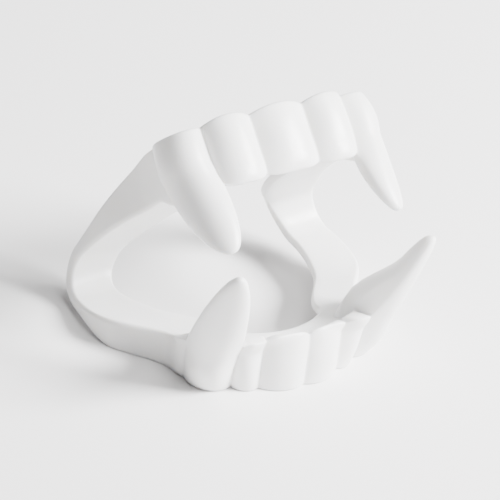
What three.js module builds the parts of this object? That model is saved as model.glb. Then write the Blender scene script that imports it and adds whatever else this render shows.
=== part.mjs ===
// Vampire fang denture: the soft white plastic mouthpiece that slips over a wearer's own teeth.
// It is one moulding. A flat bite strap runs round like a stretched ring, a tooth wall stands on
// its outer edge, and the ring is bent double at two U-shaped arms, so that the lower jaw lies on
// the ground and the upper jaw opens above it. Three incisors and two fangs stand on the upper
// wall, four incisors and two longer fangs on the lower one.
// The ring is worked out flat and then bent along its side profile. Its flat directions are x
// across the mouth, v along the side profile, and g from the bite face towards the gum.
import * as THREE from 'three';

// Sizes in millimetres and degrees
const STRAP_THICKNESS = 1.8;
const WALL_THICKNESS = 1.8;
const FILLET = 0.8;

// Side profile of the bite strap, from the lower front back through the bend to the upper front;
// the lower jaw stands on its gum rim, which is cut level as far back as REST_END
const LOWER_SLOPE = -6.7;
const REST_END = 21;
const JAW_LENGTH = 18;
const LOWER_ARM_LENGTH = 15.6;
const LOWER_ARM_TURN = 7.2;
const BEND_LENGTH = 9.9;
const BEND_TURN = 118;
const UPPER_ARM_LENGTH = 13;
const UPPER_ARM_TURN = 12.5;
const UPPER_JAW_LENGTH = 19.7;

// Plan of the ring: half widths of the strap's outer and inner edges, from lower to upper corner
const LOWER_HALF = 21.4;
const LOWER_INNER = 10.7;
const LOWER_ARM_HALF = 29.6;
const LOWER_ARM_INNER = 18.5;
const BEND_HALF = 29;
const BEND_INNER = 19.8;
const UPPER_ARM_HALF = 25.3;
const UPPER_ARM_INNER = 11.8;
const UPPER_HALF = 21.1;
const UPPER_INNER = 8.6;
const OUTER_HALVES = [LOWER_HALF, LOWER_ARM_HALF, BEND_HALF, UPPER_ARM_HALF, UPPER_HALF];
const INNER_HALVES = [LOWER_INNER, LOWER_ARM_INNER, BEND_INNER, UPPER_ARM_INNER, UPPER_INNER];

// Depth of each arch, width of the strap at its front, and how square its two edges are
const LOWER_ARCH_DEPTH = 11.9;
const UPPER_ARCH_DEPTH = 15.7;
const LOWER_FRONT_STRAP = 7;
const UPPER_FRONT_STRAP = 8.5;
const LOWER_ARCH_POWER = 1.6;
const UPPER_ARCH_POWER = 4;
const LOWER_INNER_POWER = 1.8;
const UPPER_INNER_POWER = 2.4;

// Height of the wall from the bite face to the gum rim, how far from the bend the upper grows, and
// how fast each falls towards the bend
const LOWER_RIM = 8.25;
const UPPER_RIM = 9.4;
const BEND_RIM = 1.8;
const UPPER_RIM_REACH = 26.8;
const LOWER_RIM_FALL = 2.2;
const UPPER_RIM_FALL = 1;
const UPPER_SCALLOP = 0.8;

// The soft ring lies a little twisted: roll of the bend and the upper jaw, shift of both fronts
const BEND_ROLL = 5.1;
const UPPER_ROLL = 2.8;
const UPPER_SHIFT = 0.25;
const LOWER_SHIFT = -1;
const LOWER_SHIFT_REACH = 30;

// Incisors: widths, bulges, blade, and how far blades and the notches between them stand proud
const LOWER_CENTRAL_WIDTH = 9.3;
const LOWER_LATERAL_WIDTH = 5.2;
const UPPER_CENTRAL_WIDTH = 11.8;
const UPPER_LATERAL_WIDTH = 10;
const LOWER_BULGE = 1.5;
const UPPER_BULGE = 2.2;
const BLADE_THICKNESS = 1;
const LOWER_STAND = 3.1;
const LOWER_NOTCH = 2;
const UPPER_STAND = 2.8;
const UPPER_NOTCH = 2;
const BITE_CORNER = 1;
const VALLEY = 0.35;
const ARM_EDGE = 0.8;
const TOOTH_TO_ARM = 4;

// Fangs: length past the bite face, and how far each tip leans outwards and towards the front;
// the lean takes the wall beside the fang with it, over a reach that grows with the depth
const FANG_TIP = 4;
const FANG_FULLNESS = 0.33;
const SWEEP_FROM = 3;
const LEAN_REACH = 10.5;
const LEAN_SPREAD = 2;
const LEAN_BLEND = 14;
const LOWER_FANG = { width: 8.9, length: 19.9, bulge: 3, back: 4, outward: 12.4, mesial: 3.4 };
const UPPER_FANG = { width: 10.2, length: 14.6, bulge: 3.9, back: 1.5, outward: 1.5, mesial: 4.8 };

// Section of the moulding: how the bulge swells towards the bite face, how the skins round over,
// where its points lie, and where the strap's skin and the roll of the ring begin
const CROWN_LOW = 0.7;
const CROWN_FROM = 0.1;
const CROWN_TURN = 0.75;
const INCISOR_SQUARE = 2.2;
const BLADE_SQUARE = 3.6;
const FANG_SQUARE = 2.2;
const INSIDE_BULGE = 0.6;
const INSIDE_LEAN = 0.8;
const INSIDE_SHARES = [0.4, 0.7, 1];
const ROUND = 0.5;
const VALLEY_FOOT = { blade: 0.3, arm: 1.9 };
const STRAP_START = { blade: 1, arm: 2.4 };
const TANGENT_STEP = 0.5;
const SKIN_START = 1;
const SKIN_BLEND = 3;
const ROLL_START = JAW_LENGTH + 1;
const LAST_ANGLE = Math.PI / 2 - 1e-9;

const PROFILE = [
  { name: 'lower jaw', length: JAW_LENGTH, turn: 0 },
  { name: 'lower arm', length: LOWER_ARM_LENGTH, turn: LOWER_ARM_TURN },
  { name: 'bend', length: BEND_LENGTH, turn: BEND_TURN },
  { name: 'upper arm', length: UPPER_ARM_LENGTH, turn: UPPER_ARM_TURN },
  { name: 'upper jaw', length: UPPER_JAW_LENGTH, turn: 0 },
];
const RING_LENGTH = PROFILE.reduce((sum, row) => sum + row.length, 0);
const BEND_MIDDLE = JAW_LENGTH + LOWER_ARM_LENGTH + BEND_LENGTH / 2;
const ARMS_START = LOWER_ARCH_DEPTH;
const ARMS_END = RING_LENGTH - UPPER_ARCH_DEPTH;

const LOWER_JAW = {
  reach: BEND_MIDDLE - REST_END, fall: LOWER_RIM_FALL, scallop: 0,
  bulge: LOWER_BULGE, stand: LOWER_STAND, notch: LOWER_NOTCH,
  fang: LOWER_FANG, towardsFront: -1,
};
const UPPER_JAW = {
  reach: UPPER_RIM_REACH, fall: UPPER_RIM_FALL, scallop: UPPER_SCALLOP,
  bulge: UPPER_BULGE, stand: UPPER_STAND, notch: UPPER_NOTCH,
  fang: UPPER_FANG, towardsFront: 1,
};

// Teeth from the middle of each row outwards; the upper middle incisor straddles the middle
const LOWER_TEETH = [
  { kind: 'incisor', width: LOWER_CENTRAL_WIDTH, steps: 8 },
  { kind: 'incisor', width: LOWER_LATERAL_WIDTH, steps: 7 },
  { kind: 'fang', width: LOWER_FANG.width, steps: 14 },
];
const UPPER_TEETH = [
  { kind: 'incisor', width: UPPER_CENTRAL_WIDTH, steps: 5, straddles: true },
  { kind: 'incisor', width: UPPER_LATERAL_WIDTH, steps: 8 },
  { kind: 'fang', width: UPPER_FANG.width, steps: 14 },
];
const ARM_STEPS = 34;
const FACE_STEPS = 5;
const NOSE_STEPS = 5;
const CURVE_STEPS = 200;

const radians = THREE.MathUtils.degToRad;
const mix = THREE.MathUtils.lerp;

function smooth(t) {
  const u = Math.min(Math.max(t, 0), 1);
  return u * u * (3 - 2 * u);
}

// Point and heading of the bite face's middle line at distance v from the lower front
function profileAt(v) {
  let y = 0;
  let z = LOWER_RIM;
  let heading = radians(LOWER_SLOPE);
  let start = 0;
  for (const [index, row] of PROFILE.entries()) {
    const last = index === PROFILE.length - 1;
    const turn = radians(row.turn);
    const reached = last || v < start + row.length;
    const run = reached ? v - start : row.length;
    const swing = (turn / row.length) * run;
    if (turn === 0) {
      y += Math.cos(heading) * run;
      z += Math.sin(heading) * run;
    } else {
      const radius = row.length / turn;
      y += radius * (Math.sin(heading + swing) - Math.sin(heading));
      z -= radius * (Math.cos(heading + swing) - Math.cos(heading));
    }
    heading += swing;
    start += row.length;
    if (reached) break;
  }
  return { y, z, heading };
}

// Smooth curve through evenly spaced knots, level at both ends
function throughKnots(knots, share) {
  const spans = knots.length - 1;
  const at = Math.min(Math.max(share, 0), 1) * spans;
  const i = Math.min(Math.floor(at), spans - 1);
  const t = at - i;
  const slope = (k) => (k === 0 || k === spans ? 0 : (knots[k + 1] - knots[k - 1]) / 2);
  const a = knots[i] * (2 * t ** 3 - 3 * t ** 2 + 1) + slope(i) * (t ** 3 - 2 * t ** 2 + t);
  const b = knots[i + 1] * (3 * t ** 2 - 2 * t ** 3) + slope(i + 1) * (t ** 3 - t ** 2);
  return a + b;
}

// Arch as a superellipse: a point from the middle of its front at angle 0 to its side at 90 degrees
function archPoint(half, depth, front, power, angle) {
  const x = half * Math.sin(angle) ** (2 / power);
  const v = front + (depth - front) * (1 - Math.cos(angle) ** (2 / power));
  return { x, v };
}

// Outer and inner edges of the flat strap, as lists that run side by side
function planCurves() {
  const outer = [];
  const inner = [];
  const quarter = Math.PI / 2;
  for (let i = 0; i <= CURVE_STEPS; i += 1) {
    const angle = Math.min((quarter * i) / CURVE_STEPS, LAST_ANGLE);
    outer.push(archPoint(LOWER_HALF, LOWER_ARCH_DEPTH, 0, LOWER_ARCH_POWER, angle));
    inner.push(archPoint(LOWER_INNER, LOWER_ARCH_DEPTH, LOWER_FRONT_STRAP, LOWER_INNER_POWER, angle));
  }
  for (let i = 1; i < CURVE_STEPS; i += 1) {
    const share = i / CURVE_STEPS;
    const v = mix(ARMS_START, ARMS_END, share);
    outer.push({ x: throughKnots(OUTER_HALVES, share), v });
    inner.push({ x: throughKnots(INNER_HALVES, share), v });
  }
  for (let i = CURVE_STEPS; i >= 0; i -= 1) {
    const angle = Math.min((quarter * i) / CURVE_STEPS, LAST_ANGLE);
    const out = archPoint(UPPER_HALF, UPPER_ARCH_DEPTH, 0, UPPER_ARCH_POWER, angle);
    const into = archPoint(UPPER_INNER, UPPER_ARCH_DEPTH, UPPER_FRONT_STRAP, UPPER_INNER_POWER, angle);
    outer.push({ x: out.x, v: RING_LENGTH - out.v });
    inner.push({ x: into.x, v: RING_LENGTH - into.v });
  }
  return { outer, inner };
}

const { outer: OUTER, inner: INNER } = planCurves();
const ARC = [0];
for (let i = 1; i < OUTER.length; i += 1) {
  const step = Math.hypot(OUTER[i].x - OUTER[i - 1].x, OUTER[i].v - OUTER[i - 1].v);
  ARC.push(ARC[i - 1] + step);
}
const HALF_RING = ARC[ARC.length - 1];
LOWER_JAW.fangArc = LOWER_CENTRAL_WIDTH + LOWER_LATERAL_WIDTH + LOWER_FANG.width / 2;
UPPER_JAW.fangArc = HALF_RING - UPPER_CENTRAL_WIDTH / 2 - UPPER_LATERAL_WIDTH - UPPER_FANG.width / 2;

// Point of a plan curve at arc length a of the outer one, mirrored past either end
function pointAt(curve, a) {
  if (a < 0) {
    const p = pointAt(curve, -a);
    return { x: -p.x, v: p.v };
  }
  if (a > HALF_RING) {
    const p = pointAt(curve, 2 * HALF_RING - a);
    return { x: -p.x, v: p.v };
  }
  let low = 0;
  let high = ARC.length - 1;
  while (high - low > 1) {
    const middle = (low + high) >> 1;
    if (ARC[middle] <= a) low = middle;
    else high = middle;
  }
  const t = (a - ARC[low]) / (ARC[high] - ARC[low]);
  return { x: mix(curve[low].x, curve[high].x, t), v: mix(curve[low].v, curve[high].v, t) };
}

// Stations along one jaw's row of teeth, from the middle outwards; w runs -1 to 1 over a tooth
function toothStations(jaw, teeth) {
  const stations = [];
  let at = 0;
  for (const { kind, width, steps, straddles } of teeth) {
    const shown = straddles ? width / 2 : width;
    for (let i = 0; i < steps; i += 1) {
      const share = i / steps;
      const w = straddles ? share : -1 + 2 * share;
      stations.push({ arc: at + share * shown, jaw, kind, w, width });
    }
    at += shown;
  }
  return { stations, end: at };
}

// All stations of the half ring, from the lower middle to the upper middle
function halfRingStations() {
  const lower = toothStations(LOWER_JAW, LOWER_TEETH);
  const upper = toothStations(UPPER_JAW, UPPER_TEETH);
  const start = lower.end;
  const end = HALF_RING - upper.end;
  const arms = [];
  for (let i = 0; i <= ARM_STEPS; i += 1) {
    const arc = mix(start, end, i / ARM_STEPS);
    const plain = smooth(Math.min(arc - start, end - arc) / TOOTH_TO_ARM);
    arms.push({ arc, kind: 'arm', w: 1, width: 1, plain });
  }
  const upperStations = upper.stations.map((s) => ({ ...s, arc: HALF_RING - s.arc })).reverse();
  return [...lower.stations, ...arms, ...upperStations];
}

// Height of the lower wall that brings its rim down to the ground
function groundedRim(v) {
  const { z, heading } = profileAt(v);
  return z / Math.cos(heading);
}

// What stands on the strap at one station
function toothAt(station, v) {
  const jaw = v < BEND_MIDDLE ? LOWER_JAW : UPPER_JAW;
  const { kind, w, width } = station;
  const plain = station.plain ?? 0;
  const growth = smooth(Math.abs(v - BEND_MIDDLE) / jaw.reach) ** jaw.fall;
  const rim = jaw === LOWER_JAW ? groundedRim(v) : UPPER_RIM;
  const tooth = {
    kind, plain, fang: jaw.fang, away: Math.abs(station.arc - jaw.fangArc),
    across: (w * width) / 2, height: mix(BEND_RIM, rim, growth), stand: jaw.notch,
    bulge: 0, back: 0, slope: 1, towardsFront: jaw.towardsFront,
  };
  if (kind === 'incisor') {
    tooth.bulge = jaw.bulge * (1 - Math.abs(w) ** INCISOR_SQUARE);
    tooth.stand = mix(jaw.stand, jaw.notch, Math.abs(w) ** BLADE_SQUARE);
    tooth.height += jaw.scallop * (1 - w * w);
  } else if (kind === 'fang') {
    const { fang } = jaw;
    const fullness = 1 - Math.abs(w) ** FANG_SQUARE;
    tooth.bulge = fang.bulge * fullness;
    tooth.back = fang.back * fullness;
    tooth.slope = (fang.length - jaw.notch) / (Math.hypot(width / 2, FANG_TIP) - FANG_TIP);
    tooth.stand = fang.length - tooth.slope * (Math.hypot(tooth.across, FANG_TIP) - FANG_TIP);
  } else {
    tooth.stand = jaw.notch * (1 - plain);
  }
  return tooth;
}

// How far the nearest fang's lean carries a point at height g: outwards and towards the front
function leanAt({ fang, away, height }, g) {
  const reach = LEAN_REACH + LEAN_SPREAD * Math.max(0, -g);
  const hold = 1 - smooth(away / reach);
  const rise = Math.max(0, (height - g) / (height + fang.length));
  const sweep = Math.max(0, (SWEEP_FROM - g) / (SWEEP_FROM + fang.length));
  return { out: fang.outward * rise * hold, along: fang.mesial * sweep * hold };
}

// Half thickness of a tooth below the bite face, as a share of its thickness at the base
function taper(tooth, base, g, tau) {
  if (tooth.kind !== 'fang') return Math.sqrt(Math.max(0, 1 - tau * tau));
  const { fang, slope, across } = tooth;
  const cone = (h) => ((fang.length + h) / slope + FANG_TIP) ** 2 - FANG_TIP ** 2 - across ** 2;
  return (Math.max(cone(g), 0) / cone(base)) ** FANG_FULLNESS;
}

// Outline of the ring at one station, as points out, g and along from the outer to the inner rim
function sectionAt(tooth, strapWidth) {
  const points = [];
  const crown = (u) =>
    mix(CROWN_LOW, 1, Math.sin(Math.PI * (CROWN_FROM + CROWN_TURN * u)));
  for (let i = 0; i <= FACE_STEPS; i += 1) {
    const u = i / FACE_STEPS;
    const g = mix(tooth.height, BITE_CORNER, u);
    const lean = leanAt(tooth, g);
    points.push({ out: tooth.bulge * crown(u) + lean.out, g, along: lean.along });
  }
  const { plain, back } = tooth;
  const front = tooth.bulge * crown(1);
  const rear = -BLADE_THICKNESS - back;
  const centre = mix((front + rear) / 2, -ARM_EDGE, plain);
  const half = mix((front - rear) / 2, ARM_EDGE, plain);
  const valley = VALLEY * (1 - plain);
  const order = [];
  for (let i = 1; i <= NOSE_STEPS; i += 1) order.push({ i, side: 1 });
  for (let i = NOSE_STEPS - 1; i >= 1; i -= 1) order.push({ i, side: -1 });
  for (const { i, side } of order) {
    const base = side > 0 ? BITE_CORNER : valley;
    const tau = Math.sin((Math.PI / 2) * (i / NOSE_STEPS));
    const g = base - (base + tooth.stand) * tau;
    const lean = leanAt(tooth, g);
    const follow = side > 0 ? 1 : smooth((base - g) / LEAN_BLEND);
    const out = centre + side * half * taper(tooth, base, g, tau) + lean.out * follow;
    points.push({ out, g, along: lean.along });
  }
  const strap = [
    { out: mix(rear - VALLEY_FOOT.blade, -VALLEY_FOOT.arm, plain), g: valley },
    { out: mix(rear - STRAP_START.blade, -STRAP_START.arm, plain), g: 0 },
    { out: (rear - strapWidth) / 2, g: 0 },
    { out: -strapWidth + ROUND, g: 0 },
    { out: -strapWidth, g: STRAP_THICKNESS / 2 },
    { out: -strapWidth + ROUND, g: STRAP_THICKNESS },
    { out: -(strapWidth + WALL_THICKNESS) / 2, g: STRAP_THICKNESS },
    { out: -WALL_THICKNESS - FILLET, g: STRAP_THICKNESS },
    { out: -WALL_THICKNESS, g: STRAP_THICKNESS + FILLET },
  ];
  points.push(...strap.map((p) => ({ ...p, along: 0 })));
  for (const u of INSIDE_SHARES) {
    const g = mix(STRAP_THICKNESS + FILLET, tooth.height, u);
    const lean = leanAt(tooth, g);
    const out = -WALL_THICKNESS + tooth.bulge * INSIDE_BULGE * u + lean.out * INSIDE_LEAN;
    points.push({ out, g, along: 0 });
  }
  return points;
}

// Bends a flat point to its place: along the profile, then the small roll of the soft moulding
function bend(x, v, g, rollV) {
  const { y, z, heading } = profileAt(v);
  const rise = smooth((rollV - ROLL_START) / (BEND_MIDDLE - ROLL_START));
  const upper = smooth((rollV - BEND_MIDDLE) / (RING_LENGTH - UPPER_JAW_LENGTH - BEND_MIDDLE));
  const lower = 1 - smooth(rollV / LOWER_SHIFT_REACH);
  const roll = radians(BEND_ROLL * rise + (UPPER_ROLL - BEND_ROLL) * upper);
  return new THREE.Vector3(
    x + UPPER_SHIFT * upper + LOWER_SHIFT * lower,
    y + g * Math.sin(heading),
    z - g * Math.cos(heading) + x * Math.tan(roll),
  );
}

// One outline of the ring, placed in space; side is 1 or -1 for the two mirrored halves
function outlineAt(station, side) {
  const here = pointAt(OUTER, station.arc);
  const inside = pointAt(INNER, station.arc);
  const ahead = pointAt(OUTER, station.arc + TANGENT_STEP);
  const behind = pointAt(OUTER, station.arc - TANGENT_STEP);
  const run = Math.hypot(ahead.x - behind.x, ahead.v - behind.v);
  const tangent = { x: (ahead.x - behind.x) / run, v: (ahead.v - behind.v) / run };
  const strapWidth = Math.hypot(here.x - inside.x, here.v - inside.v);
  const across = { x: (here.x - inside.x) / strapWidth, v: (here.v - inside.v) / strapWidth };
  const tooth = toothAt(station, here.v);
  return sectionAt(tooth, strapWidth).map(({ out, g, along }) => {
    const onStrap = g <= STRAP_THICKNESS ? smooth((-out - SKIN_START) / SKIN_BLEND) : 0;
    const nx = mix(tangent.v, across.x, onStrap);
    const nv = mix(-tangent.x, across.v, onStrap);
    const length = Math.hypot(nx, nv);
    const slide = along * tooth.towardsFront;
    const x = here.x + (out * nx) / length + slide * tangent.x;
    const v = here.v + (out * nv) / length + slide * tangent.v;
    const point = bend(side * x, v, g, here.v);
    if (g === tooth.height) point.z = here.v < REST_END ? 0 : Math.max(point.z, 0);
    return point;
  });
}

// The whole ring as one closed skin of quads, each cut in two, with the origin under its middle
function ringGeometry() {
  const half = halfRingStations();
  const rings = half.map((station) => outlineAt(station, 1));
  for (const station of half.slice(1, -1).reverse()) {
    rings.push(outlineAt(station, -1));
  }
  const size = rings[0].length;
  const positions = rings.flat().flatMap((p) => [p.x, p.y, p.z]);
  const index = [];
  for (let i = 0; i < rings.length; i += 1) {
    const next = (i + 1) % rings.length;
    for (let k = 0; k < size; k += 1) {
      const beside = (k + 1) % size;
      const [a, b, c, d] = [i * size + k, next * size + k, next * size + beside, i * size + beside];
      index.push(a, b, c, a, c, d);
    }
  }
  const geometry = new THREE.BufferGeometry();
  geometry.setAttribute('position', new THREE.Float32BufferAttribute(positions, 3));
  geometry.setIndex(index);
  geometry.computeVertexNormals();
  geometry.computeBoundingBox();
  const middle = geometry.boundingBox.getCenter(new THREE.Vector3());
  geometry.translate(-middle.x, -middle.y, 0);
  return geometry;
}

const plastic = new THREE.MeshStandardMaterial({ color: 0xf2f2f0, roughness: 0.35, metalness: 0 });
const denture = new THREE.Mesh(ringGeometry(), plastic);
denture.name = 'fang_denture';

const part = new THREE.Group();
part.add(denture);
export default part;
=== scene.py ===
# %% [markdown]
# Vampire fang denture. The real object is one soft white moulding: a flat bite strap that runs
# round like a stretched ring, with a row of teeth standing on its outer edge, bent double so that
# one jaw opens above the other. It could be sculpted by hand, but a moulding is a section carried
# along a curve, so it is worked out from sizes here, and every size stays easy to change.

import math
from types import SimpleNamespace

import bpy
import numpy as np
from mathutils import Matrix, Vector


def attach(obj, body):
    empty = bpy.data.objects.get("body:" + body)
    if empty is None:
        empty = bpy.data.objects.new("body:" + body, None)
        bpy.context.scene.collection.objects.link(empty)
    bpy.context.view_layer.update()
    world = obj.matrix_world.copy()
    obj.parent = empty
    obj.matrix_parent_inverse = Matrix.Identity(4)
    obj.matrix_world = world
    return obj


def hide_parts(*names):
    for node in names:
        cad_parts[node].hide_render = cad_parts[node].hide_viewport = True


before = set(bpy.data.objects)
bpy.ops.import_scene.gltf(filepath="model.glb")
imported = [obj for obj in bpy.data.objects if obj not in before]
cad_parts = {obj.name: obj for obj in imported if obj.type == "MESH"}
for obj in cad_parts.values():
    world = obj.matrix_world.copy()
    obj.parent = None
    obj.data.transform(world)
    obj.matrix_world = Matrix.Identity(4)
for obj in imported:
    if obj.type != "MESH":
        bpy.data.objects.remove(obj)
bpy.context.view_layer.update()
MM = 0.001
print("frame loaded, nodes:", list(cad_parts))

# %% [markdown]
# The photograph looks down from the front left through a long lens, and the fangs lean in it. The
# lean could go into the object, but it belongs to the picture, so the camera is rolled instead.
# A camera needs a place and three directions. They come from two angles, the roll and a distance.

# %% Camera
AZIMUTH, ELEVATION, ROLL = map(math.radians, (-42.1, 30.3, -12.5))
CAMERA_DISTANCE = 500 * MM
AIM = Vector((-6.1, -3.3, 20.3)) * MM
LENS = 197.6
CLIP_START = 0.01


def rolled_camera():
    """The camera at the photograph's viewing angle."""
    back = Vector((
        math.sin(AZIMUTH) * math.cos(ELEVATION),
        -math.cos(AZIMUTH) * math.cos(ELEVATION),
        math.sin(ELEVATION),
    ))
    level = Vector((math.cos(AZIMUTH), math.sin(AZIMUTH), 0))
    upright = back.cross(level)
    right = level * math.cos(ROLL) - upright * math.sin(ROLL)
    up = back.cross(right)
    data = bpy.data.cameras.new("camera")
    data.lens = LENS
    data.clip_start = CLIP_START
    camera = bpy.data.objects.new("camera", data)
    camera.matrix_world = Matrix.Translation(AIM + back * CAMERA_DISTANCE) @ Matrix(
        (right, up, back)).transposed().to_4x4()
    bpy.context.collection.objects.link(camera)
    bpy.context.scene.camera = camera
    return camera


camera = rolled_camera()
print("camera stands at", [round(c, 3) for c in camera.location])

# %% [markdown]
# The moulding has few sizes. The strap and the walls are 1.8 mm, as soft toy mouldings are, the
# side profile gives how each stretch of the strap runs and turns, and the plan gives how wide the
# ring is. They are kept in millimetres and degrees, the units in which such a part is drawn.

# %% Sizes of the strap and the walls
STRAP = 1.8
WALL = 1.8
FILLET = 0.8
LOWER_SLOPE = -6.7
REST_END = 21
STRETCHES = [
    dict(name="lower jaw", length=18, turn=0),
    dict(name="lower arm", length=15.6, turn=7.2),
    dict(name="bend", length=9.9, turn=118),
    dict(name="upper arm", length=13, turn=12.5),
    dict(name="upper jaw", length=19.7, turn=0),
]
RING_LENGTH = sum(row["length"] for row in STRETCHES)
JAW_LENGTH = STRETCHES[0]["length"]
BEND_MIDDLE = JAW_LENGTH + STRETCHES[1]["length"] + STRETCHES[2]["length"] / 2
UPPER_START = RING_LENGTH - STRETCHES[-1]["length"]
LOWER_RIM, UPPER_RIM, BEND_RIM = 8.25, 9.4, 1.8
UPPER_RIM_REACH = 26.8
LOWER_RIM_FALL, UPPER_RIM_FALL = 2.2, 1
UPPER_SCALLOP = 0.8
print("strap runs", round(RING_LENGTH, 1), "mm from front to front")

# %% [markdown]
# From the side the strap is a chain of straight stretches and arcs, like a paper clip. A Bezier
# curve could be drawn by eye, but arcs keep the strap's length true when it is bent, so a heading
# is turned step by step. All points are done at once with numpy, which keeps a fine mesh quick.

# %% Side profile


def profile(v):
    """Place and heading of the bite face's middle line at distances v from the lower front."""
    v = np.asarray(v, float)
    y, z, heading, start = 0.0, float(LOWER_RIM), math.radians(LOWER_SLOPE), 0.0
    ys, zs, headings = np.zeros_like(v), np.zeros_like(v), np.zeros_like(v)
    for number, row in enumerate(STRETCHES):
        first, last = number == 0, number == len(STRETCHES) - 1
        inside = (first | (v >= start)) & (last | (v < start + row["length"]))
        run = np.where(inside, v - start, 0.0)
        turn = math.radians(row["turn"])
        swing = turn / row["length"] * run
        if turn == 0:
            here = (y + math.cos(heading) * run, z + math.sin(heading) * run)
            y += math.cos(heading) * row["length"]
            z += math.sin(heading) * row["length"]
        else:
            radius = row["length"] / turn
            here = (
                y + radius * (np.sin(heading + swing) - math.sin(heading)),
                z - radius * (np.cos(heading + swing) - math.cos(heading)),
            )
            y += radius * (math.sin(heading + turn) - math.sin(heading))
            z -= radius * (math.cos(heading + turn) - math.cos(heading))
        ys, zs = np.where(inside, here[0], ys), np.where(inside, here[1], zs)
        headings = np.where(inside, heading + swing, headings)
        heading += turn
        start += row["length"]
    return ys, zs, headings


upper_front = [round(float(p[0]), 1) for p in profile([RING_LENGTH])[:2]]
print("upper front of the strap at y, z:", upper_front)

# %% [markdown]
# Seen flat, the ring has an outer edge, which carries the teeth, and an inner edge round the open
# middle. Both fronts are arches and the arms swell between them. An arch could be a plain ellipse,
# but a superellipse also makes the squarer upper one, with a single power that sets how square.

# %% Plan of the ring
OUTER_HALVES = [21.4, 29.6, 29, 25.3, 21.1]
INNER_HALVES = [10.7, 18.5, 19.8, 11.8, 8.6]
LOWER_ARCH = dict(depth=11.9, strap=7, power=1.6, inner_power=1.8)
UPPER_ARCH = dict(depth=15.7, strap=8.5, power=4, inner_power=2.4)
CURVE_STEPS = 400
LAST_ANGLE = math.pi / 2 - 1e-9


def arch(half, depth, front, power):
    """A quarter of a superellipse from the middle of its front to its side."""
    angle = np.minimum(np.linspace(0, math.pi / 2, CURVE_STEPS + 1), LAST_ANGLE)
    x = half * np.sin(angle) ** (2 / power)
    v = front + (depth - front) * (1 - np.cos(angle) ** (2 / power))
    return np.stack([x, v], 1)


def through_knots(knots, share):
    """Smooth curve through evenly spaced knots, level at both ends."""
    knots = np.asarray(knots, float)
    spans = len(knots) - 1
    slopes = np.concatenate([[0], (knots[2:] - knots[:-2]) / 2, [0]])
    at = np.clip(share, 0, 1) * spans
    i = np.minimum(at.astype(int), spans - 1)
    t = at - i
    start = knots[i] * (2 * t**3 - 3 * t**2 + 1) + slopes[i] * (t**3 - 2 * t**2 + t)
    return start + knots[i + 1] * (3 * t**2 - 2 * t**3) + slopes[i + 1] * (t**3 - t**2)


def edge_curve(halves, lower_front, upper_front, lower_power, upper_power):
    """One edge of the flat ring, from the lower front round to the upper front."""
    lower = arch(halves[0], LOWER_ARCH["depth"], lower_front, lower_power)
    upper = arch(halves[-1], UPPER_ARCH["depth"], upper_front, upper_power)[::-1]
    upper[:, 1] = RING_LENGTH - upper[:, 1]
    share = np.arange(1, CURVE_STEPS) / CURVE_STEPS
    arms_v = LOWER_ARCH["depth"] + share * (RING_LENGTH - UPPER_ARCH["depth"] - LOWER_ARCH["depth"])
    arms = np.stack([through_knots(halves, share), arms_v], 1)
    return np.concatenate([lower, arms, upper])


OUTER = edge_curve(OUTER_HALVES, 0, 0, LOWER_ARCH["power"], UPPER_ARCH["power"])
INNER = edge_curve(INNER_HALVES, LOWER_ARCH["strap"], UPPER_ARCH["strap"],
                   LOWER_ARCH["inner_power"], UPPER_ARCH["inner_power"])
ARC = np.concatenate([[0], np.cumsum(np.hypot(*np.diff(OUTER, axis=0).T))])
HALF_RING = ARC[-1]


def edge_points(curve, arc):
    """Points of an edge at arc lengths of the outer edge, mirrored past either end."""
    folded = np.abs(np.where(arc > HALF_RING, 2 * HALF_RING - arc, arc))
    sign = np.where((arc < 0) | (arc > HALF_RING), -1, 1)
    return np.interp(folded, ARC, curve[:, 0]) * sign, np.interp(folded, ARC, curve[:, 1])


print("half of the outer edge is", round(float(HALF_RING), 1), "mm long")

# %% [markdown]
# The teeth are not glued on: they are swellings of one wall, so each is a row of a table with its
# kind, its width and how many sections it gets. A fang gets the most, since its outline is steep.
# The upper middle incisor stands across the middle, so only half of it belongs to the half ring.

# %% Table of teeth
LOWER_FANG = SimpleNamespace(width=8.9, length=19.9, bulge=3, back=4, outward=12.4, mesial=3.4)
UPPER_FANG = SimpleNamespace(width=10.2, length=14.6, bulge=3.9, back=1.5, outward=1.5, mesial=4.8)
LOWER_TEETH = [
    dict(kind="incisor", width=9.3, steps=30, straddles=False),
    dict(kind="incisor", width=5.2, steps=20, straddles=False),
    dict(kind="fang", width=LOWER_FANG.width, steps=56, straddles=False),
]
UPPER_TEETH = [
    dict(kind="incisor", width=11.8, steps=20, straddles=True),
    dict(kind="incisor", width=10, steps=32, straddles=False),
    dict(kind="fang", width=UPPER_FANG.width, steps=56, straddles=False),
]
ARM_STEPS = 120
TOOTH_TO_ARM = 4


def shown_width(row):
    """The width of a tooth that lies on its own half of the ring."""
    return row["width"] / 2 if row["straddles"] else row["width"]


def tooth_stations(teeth):
    """Stations along one row of teeth, from the middle outwards; w runs -1 to 1 over a tooth."""
    stations, at = [], 0.0
    for row in teeth:
        for i in range(row["steps"]):
            share = i / row["steps"]
            w = share if row["straddles"] else 2 * share - 1
            stations.append(SimpleNamespace(
                arc=at + share * shown_width(row), kind=row["kind"], w=w, width=row["width"],
                plain=0.0))
        at += shown_width(row)
    return stations, at


def smooth(t):
    """0 below 0, 1 above 1, and an even ramp between."""
    u = np.clip(t, 0, 1)
    return u * u * (3 - 2 * u)


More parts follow.
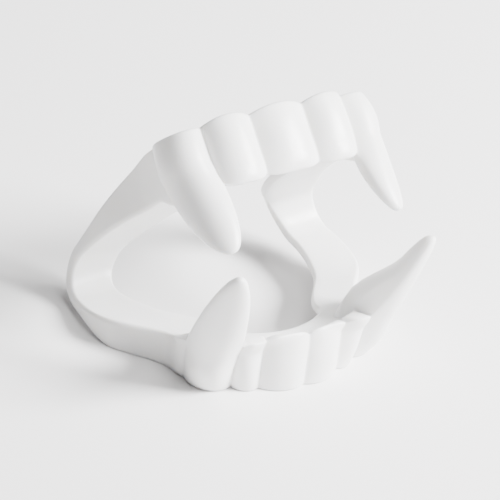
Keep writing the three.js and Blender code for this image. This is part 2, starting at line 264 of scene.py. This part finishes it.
def half_ring():
    """All stations from the lower middle to the upper middle."""
    lower, lower_end = tooth_stations(LOWER_TEETH)
    upper, upper_end = tooth_stations(UPPER_TEETH)
    end = HALF_RING - upper_end
    arms = []
    for arc in np.linspace(lower_end, end, ARM_STEPS + 1):
        plain = float(smooth(min(arc - lower_end, end - arc) / TOOTH_TO_ARM))
        arms.append(SimpleNamespace(arc=float(arc), kind="arm", w=1.0, width=1.0, plain=plain))
    for station in upper:
        station.arc = HALF_RING - station.arc
    return lower + arms + upper[::-1]


stations = half_ring()
print(len(stations), "stations on half of the ring")

# %% [markdown]
# What stands on the strap changes from station to station: the height of the wall, how far a tooth
# bulges, and how far its blade stands past the bite face. A fang is a cone with a round tip, which
# a hyperbola gives in one line. Lofting hand-drawn sections would work too, but would be less even.

# %% The wall and its teeth at one station
LOWER_STAND, LOWER_NOTCH = 3.1, 2
UPPER_STAND, UPPER_NOTCH = 2.8, 2
LOWER_BULGE, UPPER_BULGE, BLADE = 1.5, 2.2, 1
FANG_TIP, FANG_FULLNESS = 4, 0.33
INCISOR_SQUARE, BLADE_SQUARE, FANG_SQUARE = 2.2, 3.6, 2.2


def fang_arc(teeth):
    """Distance along the row from its middle to the middle of its fang."""
    return sum(shown_width(row) for row in teeth[:-1]) + teeth[-1]["width"] / 2


LOWER_JAW = SimpleNamespace(
    stand=LOWER_STAND, notch=LOWER_NOTCH, scallop=0, bulge=LOWER_BULGE, fang=LOWER_FANG,
    fang_arc=fang_arc(LOWER_TEETH), reach=BEND_MIDDLE - REST_END, fall=LOWER_RIM_FALL,
    towards_front=-1)
UPPER_JAW = SimpleNamespace(
    stand=UPPER_STAND, notch=UPPER_NOTCH, scallop=UPPER_SCALLOP, bulge=UPPER_BULGE, fang=UPPER_FANG,
    fang_arc=HALF_RING - fang_arc(UPPER_TEETH), reach=UPPER_RIM_REACH, fall=UPPER_RIM_FALL,
    towards_front=1)


def tooth_at(station, v):
    """What stands on the strap at one station, as plain numbers."""
    lower = v < BEND_MIDDLE
    jaw = LOWER_JAW if lower else UPPER_JAW
    rim = UPPER_RIM
    if lower:
        _, z, heading = profile([v])
        rim = float(z[0] / math.cos(heading[0]))
    growth = float(smooth(abs(v - BEND_MIDDLE) / jaw.reach)) ** jaw.fall
    tooth = SimpleNamespace(
        jaw=jaw, kind=station.kind, plain=station.plain, away=abs(station.arc - jaw.fang_arc),
        across=station.w * station.width / 2, height=BEND_RIM + growth * (rim - BEND_RIM),
        stand=jaw.notch * (1 - station.plain), bulge=0.0, back=0.0, slope=1.0)
    edge = abs(station.w)
    if station.kind == "incisor":
        tooth.bulge = jaw.bulge * (1 - edge**INCISOR_SQUARE)
        tooth.stand = jaw.stand + (jaw.notch - jaw.stand) * edge**BLADE_SQUARE
        tooth.height += jaw.scallop * (1 - edge**2)
    elif station.kind == "fang":
        fullness = 1 - edge**FANG_SQUARE
        tooth.bulge = jaw.fang.bulge * fullness
        tooth.back = jaw.fang.back * fullness
        spread_at_foot = math.hypot(station.width / 2, FANG_TIP) - FANG_TIP
        tooth.slope = (jaw.fang.length - jaw.notch) / spread_at_foot
        tooth.stand = jaw.fang.length - tooth.slope * (math.hypot(tooth.across, FANG_TIP) - FANG_TIP)
    return tooth


FANG_PLACE = 12
middle_station = SimpleNamespace(
    arc=LOWER_JAW.fang_arc, kind="fang", w=0.0, width=LOWER_FANG.width, plain=0.0)
middle_fang = tooth_at(middle_station, FANG_PLACE)
print("a lower fang stands", round(middle_fang.stand, 1), "mm past the bite face")

# %% [markdown]
# The lower fangs flare outwards and every fang sweeps towards the front teeth. The plastic beside a
# fang has to follow, or the skin would fold, so the lean is a field: full at the fang's middle and
# fading over a reach that grows with the depth. Moving each fang as a whole would tear the wall.

# %% The fangs' lean
LEAN_REACH, LEAN_SPREAD, LEAN_BLEND, SWEEP_FROM = 10.5, 2, 14, 3


def lean_at(tooth, g):
    """How far the nearest fang carries a point at height g: outwards and towards the front."""
    fang = tooth.jaw.fang
    hold = 1 - smooth(tooth.away / (LEAN_REACH + LEAN_SPREAD * np.maximum(0, -g)))
    rise = np.maximum(0, (tooth.height - g) / (tooth.height + fang.length))
    sweep = np.maximum(0, (SWEEP_FROM - g) / (SWEEP_FROM + fang.length))
    return fang.outward * rise * hold, fang.mesial * sweep * hold


print("the lower tip leans out by", round(float(lean_at(middle_fang, -middle_fang.stand)[0]), 1), "mm")

# %% [markdown]
# One section of the moulding is a closed outline: down the outside of the wall, round the blade or
# the fang's tip, over the bite face of the strap, round its inner edge, and back up the inside of
# the wall. Its corners are small arcs, since a soft plastic moulding has no sharp edge anywhere.

# %% Outline of one section
BITE_CORNER, VALLEY, ARM_EDGE = 1, 0.35, 0.8
VALLEY_FADE = 0.35
CROWN_LOW, CROWN_FROM, CROWN_TURN = 0.7, 0.1, 0.75
INSIDE_BULGE, INSIDE_LEAN, INSIDE_EASE = 0.6, 0.8, 0.4
VALLEY_FOOT = dict(blade=0.3, arm=1.9)
STRAP_START = dict(blade=1, arm=2.4)
INNER_EDGE, RIM_ROUND = 0.6, 0.4
FACE_STEPS, NOSE_STEPS, INSIDE_STEPS, FLAT_STEPS, ROUND_STEPS = 14, 16, 10, 6, 5


def crown(u):
    """How full the outside of a tooth is, from the rim at 0 to the bite corner at 1."""
    return CROWN_LOW + (1 - CROWN_LOW) * np.sin(math.pi * (CROWN_FROM + CROWN_TURN * u))


def taper(tooth, base, g, tau):
    """Half thickness of a tooth past the bite face, as a share of its thickness at the base."""
    if tooth.kind != "fang":
        return np.sqrt(np.maximum(0, 1 - tau**2))

    def cone(height):
        reached = (tooth.jaw.fang.length + height) / tooth.slope + FANG_TIP
        return reached**2 - FANG_TIP**2 - tooth.across**2

    return (np.maximum(cone(g), 0) / cone(base)) ** FANG_FULLNESS


def between(low, high, share):
    """The value a share of the way from low to high."""
    return low + (high - low) * share


def rows(out, g, along=0.0):
    """Points of an outline, one row each of out, g and along."""
    out, g, along = np.broadcast_arrays(out, g, along)
    return np.stack([out, g, along], 1)


def outside_face(tooth):
    """From the rounded rim down the outside of the wall to the bite corner."""
    turn = np.linspace(math.pi / 2, 0, ROUND_STEPS)[:-1]
    top = tooth.bulge * crown(0)
    rim = rows(top - RIM_ROUND * (1 - np.cos(turn)), tooth.height - RIM_ROUND * (1 - np.sin(turn)))
    u = np.linspace(0, 1, FACE_STEPS + 1)
    g = between(tooth.height - RIM_ROUND, BITE_CORNER, u)
    out, along = lean_at(tooth, g)
    return np.concatenate([rim, rows(tooth.bulge * crown(u) + out, g, along)])


def nose_side(tooth, side, steps):
    """One side of the blade or fang past the bite face."""
    front = tooth.bulge * crown(1)
    rear = -BLADE - tooth.back
    centre = between((front + rear) / 2, -ARM_EDGE, tooth.plain)
    half = between((front - rear) / 2, ARM_EDGE, tooth.plain)
    base = BITE_CORNER if side > 0 else VALLEY * (1 - tooth.plain)
    tau = np.sin(math.pi / 2 * steps / NOSE_STEPS)
    g = base - (base + tooth.stand) * tau
    lean, along = lean_at(tooth, g)
    follow = 1 if side > 0 else smooth((base - g) / LEAN_BLEND)
    return rows(centre + side * half * taper(tooth, base, g, tau) + lean * follow, g, along)


def strap_and_inside(tooth, strap_width):
    """Over the strap, round its inner edge and up the inside of the wall."""
    rear = -BLADE - tooth.back
    foot = between(rear - VALLEY_FOOT["blade"], -VALLEY_FOOT["arm"], tooth.plain)
    start = between(rear - STRAP_START["blade"], -STRAP_START["arm"], tooth.plain)
    valley = VALLEY * (1 - tooth.plain)
    inner = -strap_width + INNER_EDGE
    turn = np.linspace(0, math.pi, 2 * ROUND_STEPS + 1)
    corner = np.linspace(0, math.pi / 2, ROUND_STEPS)
    share = np.linspace(0, 1, INSIDE_STEPS + 1)[1:]
    g = between(STRAP + FILLET, tooth.height - RIM_ROUND, share)
    lean = lean_at(tooth, g)[0] * INSIDE_LEAN * smooth(share / INSIDE_EASE)
    inside = -WALL + tooth.bulge * INSIDE_BULGE * share + lean
    return np.concatenate([
        rows(foot, np.array([valley])),
        rows(between(foot, start, 0.5), np.array([valley * VALLEY_FADE])),
        rows(np.linspace(start, inner, FLAT_STEPS)[:-1], 0.0),
        rows(inner - INNER_EDGE * np.sin(turn), STRAP / 2 * (1 - np.cos(turn))),
        rows(np.linspace(inner, -WALL - FILLET, FLAT_STEPS)[1:-1], STRAP),
        rows(-WALL - FILLET * (1 - np.sin(corner)), STRAP + FILLET * (1 - np.cos(corner))),
        rows(inside, g),
        rows(inside[-1] + RIM_ROUND * (1 - np.cos(corner[1:])),
             tooth.height - RIM_ROUND * (1 - np.sin(corner[1:]))),
    ])


def section(tooth, strap_width):
    """The whole closed outline at one station."""
    return np.concatenate([
        outside_face(tooth),
        nose_side(tooth, 1, np.arange(1, NOSE_STEPS + 1)),
        nose_side(tooth, -1, np.arange(NOSE_STEPS - 1, 0, -1)),
        strap_and_inside(tooth, strap_width),
    ])


print("a section has", len(section(middle_fang, LOWER_ARCH["strap"])), "points")

# %% [markdown]
# Now the flat ring is bent along its side profile. The soft ring also lies a little twisted, which
# is a small roll and shift that grow along it. The lower wall is cut level where it stands. A curve
# modifier could bend a flat mesh, but doing it point by point keeps the rim truly on the ground.

# %% Bend the ring
TANGENT_STEP = 0.5
ROLL_START = JAW_LENGTH + 1
SKIN_START, SKIN_BLEND = 1, 3
BEND_ROLL, UPPER_ROLL, UPPER_SHIFT, LOWER_SHIFT, LOWER_SHIFT_REACH = 5.1, 2.8, 0.25, -1, 30


def bend(x, v, g, station_v):
    """Flat points to their places in space, with the twist of the resting moulding."""
    y, z, heading = profile(v)
    rise = smooth((station_v - ROLL_START) / (BEND_MIDDLE - ROLL_START))
    upper = smooth((station_v - BEND_MIDDLE) / (UPPER_START - BEND_MIDDLE))
    lower = 1 - smooth(station_v / LOWER_SHIFT_REACH)
    roll = np.radians(BEND_ROLL * rise + (UPPER_ROLL - BEND_ROLL) * upper)
    return np.stack([
        x + UPPER_SHIFT * upper + LOWER_SHIFT * lower,
        y + g * np.sin(heading),
        z - g * np.cos(heading) + x * np.tan(roll),
    ], -1)


def level_rim(points, g, height, station_v):
    """Brings the lower wall's rim down to the ground, and keeps the arms above it."""
    share = np.clip((g - STRAP) / (height - STRAP), 0, 1)
    outer_half = np.arange(len(g)) < len(g) / 2
    rim_z = np.where(outer_half, points[0, 2], points[-1, 2])
    if station_v < REST_END:
        points[:, 2] -= share * rim_z
    points[:, 2] = np.maximum(points[:, 2], 0)
    return points


def outline(station, side):
    """One section placed in space; side is 1 or -1 for the two mirrored halves."""
    arc = np.array([station.arc, station.arc + TANGENT_STEP, station.arc - TANGENT_STEP])
    xs, vs = edge_points(OUTER, arc)
    inner_x, inner_v = edge_points(INNER, arc[:1])
    tangent = np.array([xs[1] - xs[2], vs[1] - vs[2]])
    tangent /= np.hypot(*tangent)
    across = np.array([xs[0] - inner_x[0], vs[0] - inner_v[0]])
    strap_width = np.hypot(*across)
    across /= strap_width
    tooth = tooth_at(station, vs[0])
    out, g, along = section(tooth, strap_width).T
    on_strap = smooth((-out - SKIN_START) / SKIN_BLEND) * (1 - smooth((g - STRAP) / FILLET))
    normal = np.stack([
        between(tangent[1], across[0], on_strap),
        between(-tangent[0], across[1], on_strap),
    ])
    normal /= np.hypot(*normal)
    slide = along * tooth.jaw.towards_front
    x = xs[0] + out * normal[0] + slide * tangent[0]
    v = vs[0] + out * normal[1] + slide * tangent[1]
    return level_rim(bend(side * x, v, g, vs[0]), g, tooth.height, vs[0])


rings = [outline(station, 1) for station in stations]
rings += [outline(station, -1) for station in reversed(stations[1:-1])]
print(len(rings), "outlines of", len(rings[0]), "points")

# %% [markdown]
# The outlines are joined into one closed skin of quads, as a loft would be. The mesh is built from
# arrays in one go, which is much faster than adding faces with bmesh. The ring closes on itself in
# both directions, so there is no cap, and the flat model gives place to it in the frame.

# %% Skin of the moulding


def skin_mesh(rings):
    """One mesh of quads over outlines that close on themselves both ways, centred on the ground."""
    points = np.concatenate(rings)
    middle = (points.min(0) + points.max(0)) / 2
    points = (points - [middle[0], middle[1], 0]) * MM
    count, size = len(rings), len(rings[0])
    i, k = np.meshgrid(np.arange(count), np.arange(size), indexing="ij")
    after, beside = (i + 1) % count, (k + 1) % size
    corners = [i * size + k, after * size + k, after * size + beside, i * size + beside]
    faces = np.stack([c.ravel() for c in corners], 1)
    mesh = bpy.data.meshes.new("fang_moulding")
    mesh.from_pydata(points.tolist(), [], faces.tolist())
    mesh.shade_smooth()
    mesh.validate()
    return mesh


moulding = bpy.data.objects.new("fang_moulding", skin_mesh(rings))
bpy.context.collection.objects.link(moulding)
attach(moulding, "root")
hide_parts("fang_denture")
print("moulding has", len(moulding.data.polygons), "quads and measures",
      [round(side / MM, 1) for side in moulding.dimensions], "mm")

# %% [markdown]
# The plastic is white polyethylene: milky, so light goes a little way in and softens the creases,
# with a satin skin that shows a faint orange peel and cloudy patches of gloss. Plain white paint
# would look like plaster. Subsurface light gives the milk, and noise in roughness the patches.

# %% White polyethylene
MILK = (0.9, 0.895, 0.885, 1)
MILK_SHADE = (0.86, 0.855, 0.85, 1)
IOR = 1.51
MILKINESS, LIGHT_REACH, LIGHT_DEPTH = 0.5, (1.0, 0.95, 0.85), 1.5 * MM
CLOUDS = dict(scale=90, detail=3)
PATCHES = dict(scale=260, detail=4)
PEEL = dict(scale=900, detail=2)
NOISE_MIDDLE = (0.35, 0.65)
ROUGHNESS = (0.3, 0.42)
PEEL_STRENGTH, PEEL_HEIGHT = 0.12, 0.2 * MM


def new_node(tree, kind, place, **settings):
    """Adds a node at a place in the tree, with its properties set."""
    node = tree.nodes.new(kind)
    node.location = place
    for name, value in settings.items():
        setattr(node, name, value)
    return node


def noise(tree, place, coordinates, scale, detail):
    """A noise texture on object coordinates, with scale in features per metre."""
    node = new_node(tree, "ShaderNodeTexNoise", place)
    node.inputs["Scale"].default_value = scale
    node.inputs["Detail"].default_value = detail
    tree.links.new(coordinates.outputs["Object"], node.inputs["Vector"])
    return node


def spread(tree, place, source, low, high):
    """Spreads a noise's middle range over low to high."""
    node = new_node(tree, "ShaderNodeMapRange", place)
    node.inputs["From Min"].default_value = NOISE_MIDDLE[0]
    node.inputs["From Max"].default_value = NOISE_MIDDLE[1]
    node.inputs["To Min"].default_value = low
    node.inputs["To Max"].default_value = high
    tree.links.new(source.outputs["Fac"], node.inputs["Value"])
    return node


def polyethylene():
    """Milky white plastic with a satin, faintly uneven skin."""
    material = bpy.data.materials.new("white_polyethylene")
    material.use_nodes = True
    tree = material.node_tree
    shader = tree.nodes["Principled BSDF"]
    shader.inputs["IOR"].default_value = IOR
    shader.inputs["Subsurface Weight"].default_value = MILKINESS
    shader.inputs["Subsurface Radius"].default_value = LIGHT_REACH
    shader.inputs["Subsurface Scale"].default_value = LIGHT_DEPTH
    coordinates = new_node(tree, "ShaderNodeTexCoord", (-1000, 0))
    clouds = noise(tree, (-800, 200), coordinates, **CLOUDS)
    tint = new_node(tree, "ShaderNodeMix", (-300, 300), data_type="RGBA")
    tint.inputs["A"].default_value = MILK
    tint.inputs["B"].default_value = MILK_SHADE
    tree.links.new(spread(tree, (-550, 300), clouds, 0, 1).outputs["Result"], tint.inputs["Factor"])
    tree.links.new(tint.outputs["Result"], shader.inputs["Base Color"])
    patches = noise(tree, (-800, -50), coordinates, **PATCHES)
    gloss = spread(tree, (-550, 0), patches, *ROUGHNESS)
    tree.links.new(gloss.outputs["Result"], shader.inputs["Roughness"])
    peel = noise(tree, (-800, -300), coordinates, **PEEL)
    bump = new_node(tree, "ShaderNodeBump", (-300, -300))
    bump.inputs["Strength"].default_value = PEEL_STRENGTH
    bump.inputs["Distance"].default_value = PEEL_HEIGHT
    tree.links.new(peel.outputs["Fac"], bump.inputs["Height"])
    tree.links.new(bump.outputs["Normal"], shader.inputs["Normal"])
    return material


moulding.data.materials.append(polyethylene())
print("material", moulding.data.materials[0].name)

# %% [markdown]
# The floor is a plain white sweep of board. It is a flat sheet far wider than the view, so that its
# edge never shows.

# %% Floor
FLOOR_SIDE = 6.0
FLOOR_COLOUR = (0.9, 0.89, 0.89, 1)
FLOOR_ROUGHNESS = 0.9


def pale_floor():
    """A wide, plain, nearly white floor."""
    half = FLOOR_SIDE / 2
    mesh = bpy.data.meshes.new("floor")
    corners = [(-half, -half, 0), (half, -half, 0), (half, half, 0), (-half, half, 0)]
    mesh.from_pydata(corners, [], [(0, 1, 2, 3)])
    floor = bpy.data.objects.new("floor", mesh)
    bpy.context.collection.objects.link(floor)
    material = bpy.data.materials.new("floor_board")
    material.use_nodes = True
    shader = material.node_tree.nodes["Principled BSDF"]
    shader.inputs["Base Color"].default_value = FLOOR_COLOUR
    shader.inputs["Roughness"].default_value = FLOOR_ROUGHNESS
    mesh.materials.append(material)
    return floor


pale_floor()
print("floor is", FLOOR_SIDE, "m wide")

# %% [markdown]
# White plastic on a white floor shows only by its shading. One soft light from the right and front
# does nearly all the work, so the left sides of the walls stay in soft grey, and a weaker one
# overhead keeps the floor pale. A small lamp would cut hard shadows, so both are wide. A bright
# world would wash the shading out, so it is only a faint dome that fills the darkest corners.

# %% Light
DOME = dict(color=(1.0, 0.995, 0.99, 1), strength=0.15)
LIGHTS = [
    dict(name="key", azimuth=55, elevation=36, distance=0.8, size=0.35, watts=40.0),
    dict(name="top", azimuth=20, elevation=80, distance=0.9, size=0.5, watts=6.0),
]


def dome():
    """A faint, even world."""
    world = bpy.data.worlds.new("dome")
    world.use_nodes = True
    background = world.node_tree.nodes["Background"]
    background.inputs["Color"].default_value = DOME["color"]
    background.inputs["Strength"].default_value = DOME["strength"]
    bpy.context.scene.world = world


def soft_light(name, azimuth, elevation, distance, size, watts):
    """A square area light that looks at the middle of the denture; angles as the camera's."""
    a, e = math.radians(azimuth), math.radians(elevation)
    away = Vector((math.sin(a) * math.cos(e), -math.cos(a) * math.cos(e), math.sin(e)))
    data = bpy.data.lights.new(name, "AREA")
    data.size = size
    data.energy = watts
    light = bpy.data.objects.new(name, data)
    light.location = AIM + away * distance
    light.rotation_euler = away.to_track_quat("Z", "Y").to_euler()
    bpy.context.collection.objects.link(light)
    return light


dome()
for row in LIGHTS:
    soft_light(**row)
